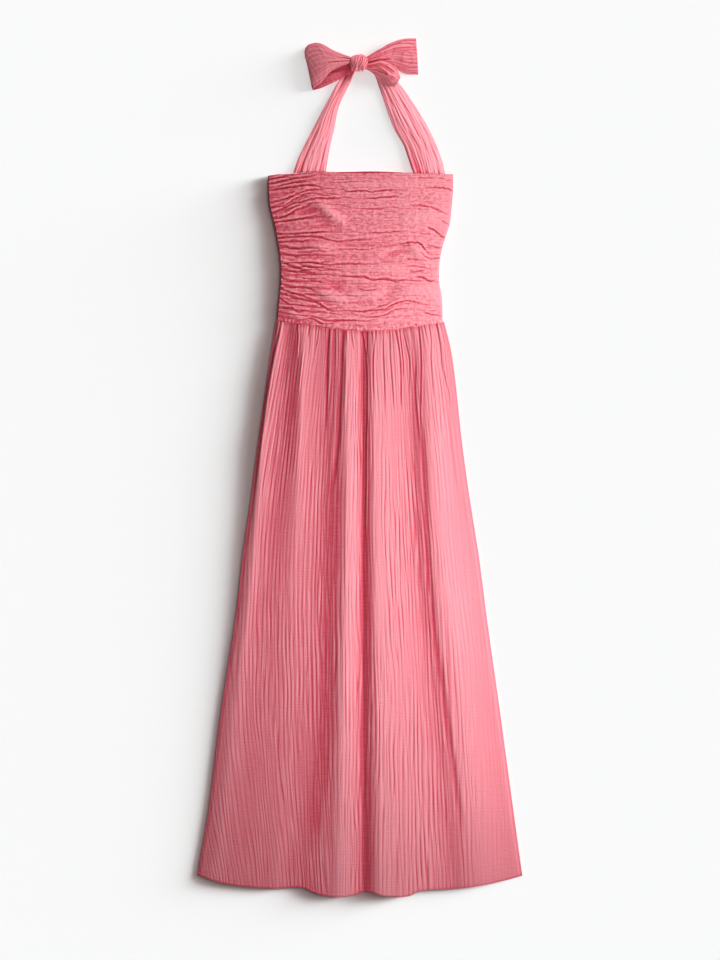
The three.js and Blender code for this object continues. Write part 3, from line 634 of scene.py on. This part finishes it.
def fold_height(x, y):
    """The large folds: ridges between valleys, some of them with one sharp flank."""
    left, right = skirt_sides(y)
    lines = [(left, SKIRT_EDGE_TOP, 0)]
    lines += [(along(FOLD_Y, xs, y), along(FOLD_Y, zs, y), steep) for xs, zs, steep in FOLDS]
    lines.append((right, SKIRT_EDGE_TOP, 0))
    z = np.full_like(x, SKIRT_EDGE_TOP)
    for (from_x, from_z, _), (to_x, to_z, steep) in zip(lines, lines[1:]):
        share = np.clip((x - from_x) / (to_x - from_x), 0, 1)
        sharp = 1 - (1 - share) ** 2 if steep > 0 else share**2
        between = (x >= from_x) & (x <= to_x)
        z = np.where(between, mix(from_z, to_z, mix(ease(share), sharp, 0.8 * abs(steep))), z)
    return z


def gather_wave(u, below):
    """Gathers at the waist seam, each with its own height and length, split by finer ones at the seam."""
    share = (u + 1) / 2
    lane = share * GATHERS + 0.22 * np.sin(2 * np.pi * share * 7) - 0.12 * np.sin(2 * np.pi * share * 11)
    random = np.random.default_rng(GATHER_SEED)
    heights = random.uniform(0.6, 1.4, GATHERS + 3)
    lengths = random.uniform(10, 50, GATHERS + 3)
    k = np.clip(np.floor(lane).astype(int) + 1, 0, GATHERS + 2)
    nearest = np.minimum(lane % 1, 1 - lane % 1)
    height = GATHER_RISE * heights[k] * np.exp(-below / lengths[k]) * np.sin(np.pi * nearest) ** 1.2
    split = np.abs(np.sin(2 * np.pi * lane + 3 * noise(share * 9, below / 60, 12))) - 0.6
    return height + 0.5 * split * np.exp(-below / 30) - 1.2 * np.exp(-below / 60)


def fan_lane(x, below):
    """Where the crinkle through x starts at the waist."""
    fan = mix(along(FAN_BELOW, FAN_LEFT, below), along(FAN_BELOW, FAN_RIGHT, below), ease((x + 40) / 80))
    return x / fan


def crinkle_strength(x, y, below, left, right):
    """Strong in patches over most of the skirt, faint beside the side seams."""
    patch = np.clip(0.85 + 0.7 * noise(x / 45, y / 210, 35), 0.45, 1.25)
    smooth_right = ease((right - x) / along(SMOOTH_BELOW, SMOOTH_RIGHT, below) - 0.45)
    smooth_left = ease((x - left) / along(SMOOTH_BELOW, SMOOTH_LEFT, below) - 0.2)
    return patch * mix(0.16, 1, smooth_right) * mix(0.4, 1, smooth_left)


def crinkles(lane, y, below):
    """Long crinkles, left out where the lanes lie too slantwise across the grid to be drawn cleanly."""
    coarse = crinkled(lane, y, CRINKLE_PITCH, 31)
    loose = creased((lane + 1.5 * noise(lane / 20, y / 90, 40)) / 4.6, y / 110, 41) - 0.5
    slant = np.abs(np.gradient(lane, axis=0))
    return (0.8 * coarse + 0.35 * loose) * ease((below + 15) / 80) * np.exp(-((slant / 1.1) ** 2))


def skirt_rows():
    """Shares from hem to waist: close together round the hem fold and the gathers."""
    hem = np.array([0, 0.7, 2, 3.6, 5, 5.6, 6.2, 7, 8.5, 11])
    body = np.linspace(16, 880, 98)
    waist = np.linspace(885, SKIRT_LENGTH, 22)
    return 1 - np.concatenate([hem, body, waist]) / SKIRT_LENGTH


def make_skirt_front():
    u, v = np.meshgrid(np.linspace(-1, 1, SKIRT_FRONT_COLUMNS), skirt_rows())
    x, y = skirt_place(u, v)
    left, right = x[:, :1], x[:, -1:]
    below = waist_seam_y(u) - y
    above_hem = (1 - v) * SKIRT_LENGTH
    lane = fan_lane(x, below)
    strength = crinkle_strength(x, y, below, left, right)
    placed = creases(SKIRT_CREASES, y, x, *SKIRT_SEWN)
    relief = strength * crinkles(lane, y, below) + gather_wave(u, below) + 0.55 * placed

    # Large folds under the relief, flatter at the hem, tucked under the bodice and thin at the side seams
    z = fold_height(x, y) + relief * mix(0.55, 1, ease(above_hem / 30))
    z = mix(z, 0.55 * z, ease(1 - below / 9) * 0.9)
    side_z, hem_z = 2.2, 1.2
    z = mix(side_z, z, ease(np.minimum(x - left, right - x) / 7))
    z = np.maximum(z, FRONT_LOWEST_Z)

    # Painted shade and light: redder in the troughs, on slopes away from the light, in the valleys' bands,
    # at the left and a little near the right seam, and paler at the top right
    painted_shading = hollows(z, (1, 11), (5, 121), 0.95) + 1.5 * lee(z, x, 31) * ease((x - left - 25) / 30)
    painted_shading = painted_shading + 0.04 * ease((x - right + 80) / 60) - 0.16 * placed
    painted_shading = painted_shading - 0.14 * ease(x / 60) * np.exp(-below / 120)
    painted_shading = painted_shading - creases(SKIRT_SHADE_BANDS, y, x, *SKIRT_SEWN, lip=0)
    painted_shading = painted_shading + 0.15 * ease(-(x + 20) / 80)

    # The turned hem: thicker and redder, with a groove along its stitching
    painted_shading = painted_shading + np.where(above_hem < HEM_BAND, 0.25, 0)
    groove = 0.3 * np.exp(-(((above_hem - HEM_BAND - 0.7) / 0.8) ** 2))
    z = z + np.where(above_hem < HEM_BAND, 0.12, 0) - groove
    z[0, :] = hem_z
    fade = ease((below + 10) / 120) * ease(above_hem / 8)
    points, flat = np.stack([x, y, z], -1), np.stack([lane, y], -1)
    return sheet_object("skirt_front_cloth", points, flat, painted_shading, strength * mix(0.3, 1, fade))


def make_skirt_back():
    columns, rows = SKIRT_BACK_GRID
    u, v = np.meshgrid(np.linspace(-1, 1, columns), 1 - np.linspace(0, 1, rows))
    x, y = skirt_place(u, v, hem_short=1.2)
    below = waist_seam_y(u) - y
    lane = fan_lane(-x, below)
    strength = crinkle_strength(-x, y, below, -x[:, -1:], -x[:, :1])
    relief = strength * crinkles(lane, y, below) + 0.4 * noise(x / 50, y / 260, 42)
    relief = relief + 0.25 * creases(SKIRT_CREASES, y, 6 - x, *SKIRT_SEWN)
    top = np.stack([x, y, CLOTH + 0 * x], -1)
    bottom = np.stack([x, y, np.clip(0.4 - relief, 0, 0.9)], -1)
    # Painted shade: redder in the troughs of the relief
    painted_shading = hollows(relief, (1, 7), (5, 25))
    return shell_object("skirt_back_cloth", top, bottom, np.stack([lane, y], -1), painted_shading, strength)


# Ties and bow

def ribbon_points(table, s, t):
    places = np.arange(len(table["crown"]))
    where = s * places[-1]
    edge = np.stack([along(places, [p[k] for p in table["edge"]], where) for k in range(3)], -1)
    other = np.stack([along(places, [p[k] for p in table["other"]], where) for k in range(3)], -1)
    crown = along(places, table["crown"], where)
    points = mix(edge, other, t[..., None])
    points[..., 2] += crown * 4 * t * (1 - t)
    return points


def make_ribbon(name, table, relief, shade, crinkle=1.0, rounded=0.0):
    """A doubled strip of cloth through a table of sections. relief moves its faces outwards, and rounded
    narrows its far end and lowers it by so much."""
    columns, rows = table["grid"]
    t, s = np.meshgrid(np.linspace(0, 1, columns), np.linspace(0, 1, rows))
    middle = ribbon_points(table, s, t)
    if rounded:
        end = ease((s - 0.78) / 0.22)
        core = ribbon_points(table, s, 0 * t + 0.5)
        middle = mix(middle, core, 0.45 * end[..., None] ** 2)
        middle[..., 2] -= rounded * end**2
    lengthwise = np.gradient(middle, axis=0)
    across = np.gradient(middle, axis=1)
    normal = np.cross(across, lengthwise)
    normal /= np.maximum(np.linalg.norm(normal, axis=-1, keepdims=True), 1e-9)
    along_mm = np.cumsum(np.linalg.norm(lengthwise, axis=-1), 0)
    rise = relief(along_mm, s, t)
    rounding = np.sqrt(np.clip(1 - (2 * t - 1) ** 8, 0, 1))
    half = CLOTH / 2 * rounding
    top = middle + normal * (half + rise * rounding)[..., None]
    bottom = middle + normal * (-half + 0.5 * rise * rounding)[..., None]
    top[..., 2] = np.maximum(top[..., 2], 0.35)
    bottom[..., 2] = np.maximum(bottom[..., 2], 0.1)
    flat = np.stack([t * RIBBON_WIDTH, along_mm], -1)
    # Painted shade: redder in the relief's troughs, plus the tie's own painted shading
    painted_shading = hollows(1.5 * rise, (7, 7), (31, 25)) + shade(s, t)
    return shell_object(name, top, bottom, flat, painted_shading, crinkle + 0 * s)


def hand_folds(table, s, t):
    """Relief of the creases that a table places on a tie, each easing in and out over a share of the tie."""
    easing = 0.12
    relief = np.zeros_like(s)
    for places, (start, stop), width, depth in table:
        inside = ease((s - start) / easing) * ease((stop - s) / easing)
        offset = (t - along([0, 0.5, 1], places, s)) / width
        relief -= depth * inside * np.exp(-(offset**2))
    return relief


def strap_relief(seed, folds):
    """Gathers at the bodice, lengthwise crinkles and the strap's own creases."""
    gathers = 5

    def relief(along_mm, s, t):
        base = np.exp(-along_mm / 26)
        gather = np.abs(np.sin(np.pi * (t * gathers + 0.3 * noise(t * 5, s * 2, seed)))) ** 0.8 - 0.6
        lanes = creased((t * 50 + 2 * noise(t * 3, s * 4, seed + 1)) / 5.5, along_mm / 75, seed + 2)
        return gather * (2.6 * base + 0.5) + 1.3 * (lanes - 0.5) + hand_folds(folds, s, t)

    return relief


def loop_relief(seed, folds):
    def relief(along_mm, s, t):
        lines = creased(t * RIBBON_WIDTH / 8, along_mm / 60, seed)
        cross = creased(t * RIBBON_WIDTH / 30, along_mm / 8, seed + 1)
        return 0.6 * (lines - 0.5) + 0.35 * (cross - 0.5) + hand_folds(folds, s, t)

    return relief


def pleated_relief(seed, pleats, reach, crumple, folds):
    """Lengthwise crinkles, pleats that spread from the knot and fade over a reach, and crumples."""
    def relief(along_mm, s, t):
        lines = creased(t * RIBBON_WIDTH / 6.5, along_mm / 50, seed)
        bend = 0.35 * noise(t * 2, along_mm / 22, seed + 1)
        pleat = np.abs(np.sin(np.pi * (t * pleats + bend + 0.15))) ** 0.8 - 0.6
        wobble = 0.3 * noise(t * 6, along_mm / 12, seed + 3)
        dents = creased(t * 2.3 + wobble, along_mm / 19, seed + 2) - 0.6
        spread = 2.2 * pleat * np.exp(-((along_mm / reach) ** 2))
        return 0.9 * (lines - 0.5) + spread + crumple * dents + hand_folds(folds, s, t)

    return relief


def strap_left_shade(s, t):
    """Pale cloth, redder at the foot of the outer edge, up the inner edge and below the knot."""
    outer = 1.1 * ease((0.38 - s - t) / 0.3) * ease((0.5 - s) / 0.2)
    inner = 0.6 * ease((t - 0.45) / 0.25) * ease((s - 0.6) / 0.2)
    return outer + inner + 0.7 * ease((s - 0.72) / 0.2) - 0.4


def strap_right_shade(s, t):
    """Pale cloth, redder at the foot of the inner edge and below the knot."""
    return ease((0.5 - s - t) / 0.3) * ease((0.42 - s) / 0.2) + 0.6 * ease((s - 0.84) / 0.14) - 0.36


def tail_shade(s, t):
    """A redder strip along the tail's upper edge, where the cloth folds over, and beside the loop."""
    return 0.25 * ease((t - 0.84) / 0.08) * ease((0.8 - s) / 0.3) + 0.5 * ease((0.5 - s) / 0.35) + 0.18


def loop_left_shade(s, t):
    """The inner layer lies in the shade of the front one, most of all at the knot."""
    return 0.5 * ease((0.46 - s) / 0.06) + 0.6 * ease((0.2 - s) / 0.15) + 0.4 * ease((s - 0.9) / 0.1)


def loop_right_shade(s, t):
    """Redder near the knot and along the edge that dips behind the tail."""
    return 0.4 * ease((0.3 - s) / 0.25) + 0.4 * ease((t - 0.86) / 0.1) + 0.3 * ease((0.08 - t) / 0.06)


def make_knot():
    """Cloth wrapped round the crossing: a barrel about X whose wraps lean a little."""
    columns, rows, cloth_depth = 110, 96, 0.9
    share, angle = np.meshgrid(np.linspace(-1, 1, columns), np.linspace(0, 2 * np.pi, rows))
    body = np.clip(1 - np.abs(share) ** 3, 0, 1) ** (1 / 2.2)
    lean = share - 0.3 * np.cos(angle) + 0.06 * np.sin(3 * angle)
    wraps = creased(lean * 4, np.sin(angle) * 0.9 + 3, 71)
    fine = creased(lean * 9, np.cos(angle) * 1.4 + 5, 72)
    relief = 2.8 * (wraps - 0.6) + 0.5 * (fine - 0.5)
    radius = body * (KNOT["half_height"] - cloth_depth + relief)
    radius[-1] = radius[0]
    x = KNOT["x"] + share * KNOT["half_width"]
    y = KNOT["y"] + radius * np.cos(angle)
    z = KNOT["z"] + radius * np.sin(angle) * KNOT["half_depth"] / KNOT["half_height"]
    points = np.stack([x, y, z], -1)
    flat = np.stack([lean * KNOT["half_width"], angle * KNOT["half_height"]], -1)
    # Painted shade: redder in the wraps' troughs and at both ends, where the knot meets the loops
    painted_shading = hollows(relief, (9, 9), (31, 31)) + ease((np.abs(share) - 0.65) / 0.3) * 0.6 - 0.1
    return sheet_object("bow_knot_cloth", points, flat, painted_shading, 0.9 + 0 * share)


# Materials

# The gauze on lit ridges and in shaded troughs: painted light and painted shade
PAINTED_LIGHT_RIDGE = (0.95, 0.35, 0.4, 1)
PAINTED_SHADE_TROUGH = (0.66, 0.045, 0.09, 1)
SLUB = (0.93, 0.3, 0.36, 1)
CLOUD = (0.78, 0.13, 0.18, 1)
WARP = 11400.0  # radians of its wave for each metre across: a thread every 0.55 mm
WEFT = 10600.0  # and along: a thread every 0.59 mm
FINE_PITCH = 0.0021


class Nodes:
    """Short ways to add and link the shader nodes of one material."""

    def __init__(self, material):
        self.nodes = material.node_tree.nodes
        self.links = material.node_tree.links

    def put(self, socket, value):
        if isinstance(value, (int, float, tuple)):
            socket.default_value = value
        else:
            self.links.new(value, socket)

    def math(self, operation, *values):
        node = self.nodes.new("ShaderNodeMath")
        node.operation = operation
        for socket, value in zip(node.inputs, values):
            self.put(socket, value)
        return node.outputs[0]

    def mix(self, share, a, b):
        node = self.nodes.new("ShaderNodeMix")
        node.data_type = "RGBA"
        for socket, value in ((node.inputs[0], share), (node.inputs[6], a), (node.inputs[7], b)):
            self.put(socket, value)
        return node.outputs[2]

    def noise(self, vector, across, along, detail=1.0, turn=0.0):
        """Noise from 0 to 1 with one bump for each so many metres across and along the crinkles."""
        mapping = self.nodes.new("ShaderNodeMapping")
        mapping.inputs["Rotation"].default_value = (0, 0, turn)
        mapping.inputs["Scale"].default_value = (1 / across, 1 / along, 1)
        self.links.new(vector, mapping.inputs["Vector"])
        node = self.nodes.new("ShaderNodeTexNoise")
        node.noise_dimensions = "2D"
        node.inputs["Scale"].default_value = 1
        node.inputs["Detail"].default_value = detail
        self.links.new(mapping.outputs["Vector"], node.inputs["Vector"])
        return node.outputs[0]

    def ripples(self, across, pitch, wander):
        """Rounded crinkles of one pitch across the cloth, about 0, below it in sharp troughs."""
        phase = self.math("MULTIPLY_ADD", across, np.pi / pitch, wander)
        wave = self.math("ABSOLUTE", self.math("SINE", phase))
        return self.math("SUBTRACT", self.math("POWER", wave, CRINKLE_ROUNDING), CRINKLE_MEAN)


def gauze():
    """Pink crinkled gauze: weave, slubs and crinkles in its relief, and painted shade, redder cloth, in
    every trough.
    """
    material = bpy.data.materials.new("pink_crinkled_gauze")
    material.use_nodes = True
    kit = Nodes(material)
    shader = kit.nodes["Principled BSDF"]
    shader.inputs["Roughness"].default_value = 0.85
    shader.inputs["Specular IOR Level"].default_value = 0.15
    shader.inputs["Sheen Weight"].default_value = 0.05
    shader.inputs["Sheen Roughness"].default_value = 0.45
    shader.inputs["Sheen Tint"].default_value = (1, 0.75, 0.8, 1)

    uv = kit.nodes.new("ShaderNodeUVMap")
    uv.uv_map = "cloth"
    place = uv.outputs["UV"]
    split = kit.nodes.new("ShaderNodeSeparateXYZ")
    kit.links.new(place, split.inputs[0])
    across = split.outputs["X"]
    along_cloth = split.outputs["Y"]
    painted_shading = kit.nodes.new("ShaderNodeAttribute")
    painted_shading.attribute_name = "painted_shading"
    strength = kit.nodes.new("ShaderNodeAttribute")
    strength.attribute_name = "crinkle"

    # Two sizes of crinkles that sway together, in patches of their own strength
    sway = kit.math("MULTIPLY", kit.noise(place, 0.03, 0.28), 7.5)
    sway = kit.math("MULTIPLY_ADD", kit.noise(place, 0.008, 0.13), 3.0, sway)
    coarse = kit.ripples(across, CRINKLE_PITCH * MM, sway)
    fine = kit.ripples(across, FINE_PITCH, kit.math("MULTIPLY", sway, 2.3))
    lively = kit.math("MULTIPLY_ADD", kit.noise(place, 0.006, 0.07), 2.6, -0.5)
    lively = kit.math("MINIMUM", kit.math("MAXIMUM", lively, 0.15), 1.2)
    crinkle = kit.math("MULTIPLY_ADD", fine, 0.3, coarse)
    crinkle = kit.math("MULTIPLY", kit.math("MULTIPLY", crinkle, lively), strength.outputs["Fac"])

    # Painted shade: redder in every trough; the paler slubs and redder clouds are the cloth's own
    slub = kit.noise(place, 0.016, 0.0027, 2.0, turn=0.35)
    cloud = kit.noise(place, 0.11, 0.16, 2.0)
    depth = kit.math("MULTIPLY_ADD", crinkle, -1.1, painted_shading.outputs["Fac"])
    depth = kit.math("MINIMUM", kit.math("MAXIMUM", depth, 0.0), 1.0)
    colour = kit.mix(depth, PAINTED_LIGHT_RIDGE, PAINTED_SHADE_TROUGH)
    colour = kit.mix(kit.math("MULTIPLY", slub, 0.3), colour, SLUB)
    colour = kit.mix(kit.math("MULTIPLY", cloud, 0.18), colour, CLOUD)
    kit.links.new(colour, shader.inputs["Base Color"])

    # Relief: weave, crinkles, slubs and grain
    warp = kit.math("SINE", kit.math("MULTIPLY", across, WARP))
    weft = kit.math("SINE", kit.math("MULTIPLY", along_cloth, WEFT))
    weave = kit.math("MULTIPLY", kit.math("ADD", warp, weft), 0.02)
    grain = kit.noise(place, 0.0026, 0.0017, 1.0, turn=0.5)
    height = kit.math("MULTIPLY_ADD", crinkle, 0.45, weave)
    height = kit.math("MULTIPLY_ADD", slub, 0.35, height)
    height = kit.math("MULTIPLY_ADD", grain, 0.3, height)
    bump = kit.nodes.new("ShaderNodeBump")
    bump.inputs["Strength"].default_value = 1.0
    bump.inputs["Distance"].default_value = MM
    kit.links.new(height, bump.inputs["Height"])
    kit.links.new(bump.outputs["Normal"], shader.inputs["Normal"])
    return material


def plain_material(name, colour, roughness):
    material = bpy.data.materials.new(name)
    material.use_nodes = True
    shader = material.node_tree.nodes["Principled BSDF"]
    shader.inputs["Base Color"].default_value = (*colour, 1)
    shader.inputs["Roughness"].default_value = roughness
    shader.inputs["Specular IOR Level"].default_value = 0.1
    return material


# The dress


def dress(material):
    pieces = {
        "bodice_front": make_bodice_front(),
        "bodice_back": make_bodice_back(),
        "skirt_front": make_skirt_front(),
        "skirt_back": make_skirt_back(),
        "strap_left": make_ribbon(
            "strap_left_cloth", STRAP_LEFT, strap_relief(41, FOLDS_STRAP_LEFT), strap_left_shade
        ),
        "strap_right": make_ribbon(
            "strap_right_cloth", STRAP_RIGHT, strap_relief(51, FOLDS_STRAP_RIGHT), strap_right_shade
        ),
        "bow_knot": make_knot(),
        "bow_loop_left": make_ribbon(
            "bow_loop_left_cloth", LOOP_LEFT, loop_relief(61, FOLDS_LOOP_LEFT), loop_left_shade, crinkle=0.4
        ),
        "bow_tail_right": make_ribbon(
            "bow_tail_right_cloth", TAIL_RIGHT, pleated_relief(65, 3, 45, 0.9, FOLDS_TAIL), tail_shade,
            crinkle=0.8,
        ),
        "bow_loop_right": make_ribbon(
            "bow_loop_right_cloth", LOOP_RIGHT, pleated_relief(68, 2.6, 60, 1.8, FOLDS_LOOP_RIGHT),
            loop_right_shade, crinkle=0.6, rounded=3.5,
        ),
    }
    for node, piece in pieces.items():
        piece.data.materials.append(material)
        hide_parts(node)
        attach(piece, "root")
    return pieces


# Studio

def linked_collection(name, objects):
    collection = bpy.data.collections.new(name)
    for item in objects:
        collection.objects.link(item)
    return collection


def add_light(name, kind, location, target, energy, receivers, blockers=None, **settings):
    """A lamp at a place, turned to a target, that lights one collection."""
    light = bpy.data.lights.new(name, kind)
    light.energy = energy
    for key, value in settings.items():
        setattr(light, key, value)
    lamp = bpy.data.objects.new(name, light)
    lamp.location = location
    direction = Vector(target) - Vector(location)
    lamp.rotation_mode = "QUATERNION"
    lamp.rotation_quaternion = direction.to_track_quat("-Z", "Y")
    bpy.context.scene.collection.objects.link(lamp)
    lamp.light_linking.receiver_collection = receivers
    if blockers is not None:
        lamp.light_linking.blocker_collection = blockers


def studio(pieces):
    bpy.ops.mesh.primitive_plane_add(size=12, location=(0, 0, -0.0004))
    floor = bpy.context.object
    floor.name = "floor"
    floor.data.materials.append(plain_material("pale_floor", (0.9, 0.9, 0.9), 1.0))

    lit_dress = linked_collection("lit_dress", pieces.values())
    lit_floor = linked_collection("lit_floor", [floor])
    body = linked_collection("body", [pieces[name] for name in ("bodice_front", "skirt_front")])
    middle = (0, 0, 0)
    add_light(
        "panel_light_right", "AREA", (0.6, -0.12, 0.205), (0, -0.12, 0), 26.8, lit_dress,
        shape="RECTANGLE", size=1.0, size_y=2.6,
    )
    square = dict(shape="RECTANGLE", size=0.5, size_y=0.5)
    lit = {}
    for part, power in (("skirt", 4), ("bodice", 16), ("strap", 27), ("bow", 18.5)):
        chosen = [piece for name, piece in pieces.items() if name.startswith(part)]
        lit[part] = linked_collection("lit_" + part, chosen)
        add_light("key_light_" + part, "AREA", (0.7, 1.6, 0.75), (0, 0.3, 0), power, lit[part], **square)
    add_light("fill_light_hem", "AREA", (0.7, -1.6, 0.75), (0, -0.65, 0), 1.6, lit["skirt"], **square)
    pale = (0.902, 0.992, 1)
    warm = (1, 0.78, 0.75)
    for name, place, power, blockers, angle, colour in (
        ("low_light_on_floor", (1, 0.25, 0.09), 18.7, body, 0.33, pale),
        ("low_light_all_round", (1, 0.25, 0.14), 6.0, None, 0.5, pale),
        ("soft_light_on_floor", (0.6, 0.3, 0.5), 1.3, None, 1.2, warm),
    ):
        add_light(name, "SUN", place, middle, power, lit_floor, blockers, angle=angle, color=colour)

    world = bpy.data.worlds.new("studio")
    bpy.context.scene.world = world
    world.use_nodes = True
    background = world.node_tree.nodes["Background"]
    background.inputs["Color"].default_value = (1, 0.76, 0.74, 1)
    background.inputs["Strength"].default_value = 0.065


def camera():
    """Straight down on the dress, framed as in the photograph: 1245.6 by 1660.8 mm at the cloth."""
    distance = 4.0
    frame_height = 1.6608
    middle_y, cloth_z = -0.0216, 0.005
    data = bpy.data.cameras.new("camera")
    data.sensor_width = 36
    data.lens = data.sensor_width * distance / frame_height
    data.clip_end = 20
    view = bpy.data.objects.new("camera", data)
    view.location = (0, middle_y, distance + cloth_z)
    bpy.context.scene.collection.objects.link(view)
    bpy.context.scene.camera = view


camera()
cloth = gauze()
pieces = dress(cloth)
studio(pieces)
bpy.context.scene.view_settings.view_transform = "Standard"
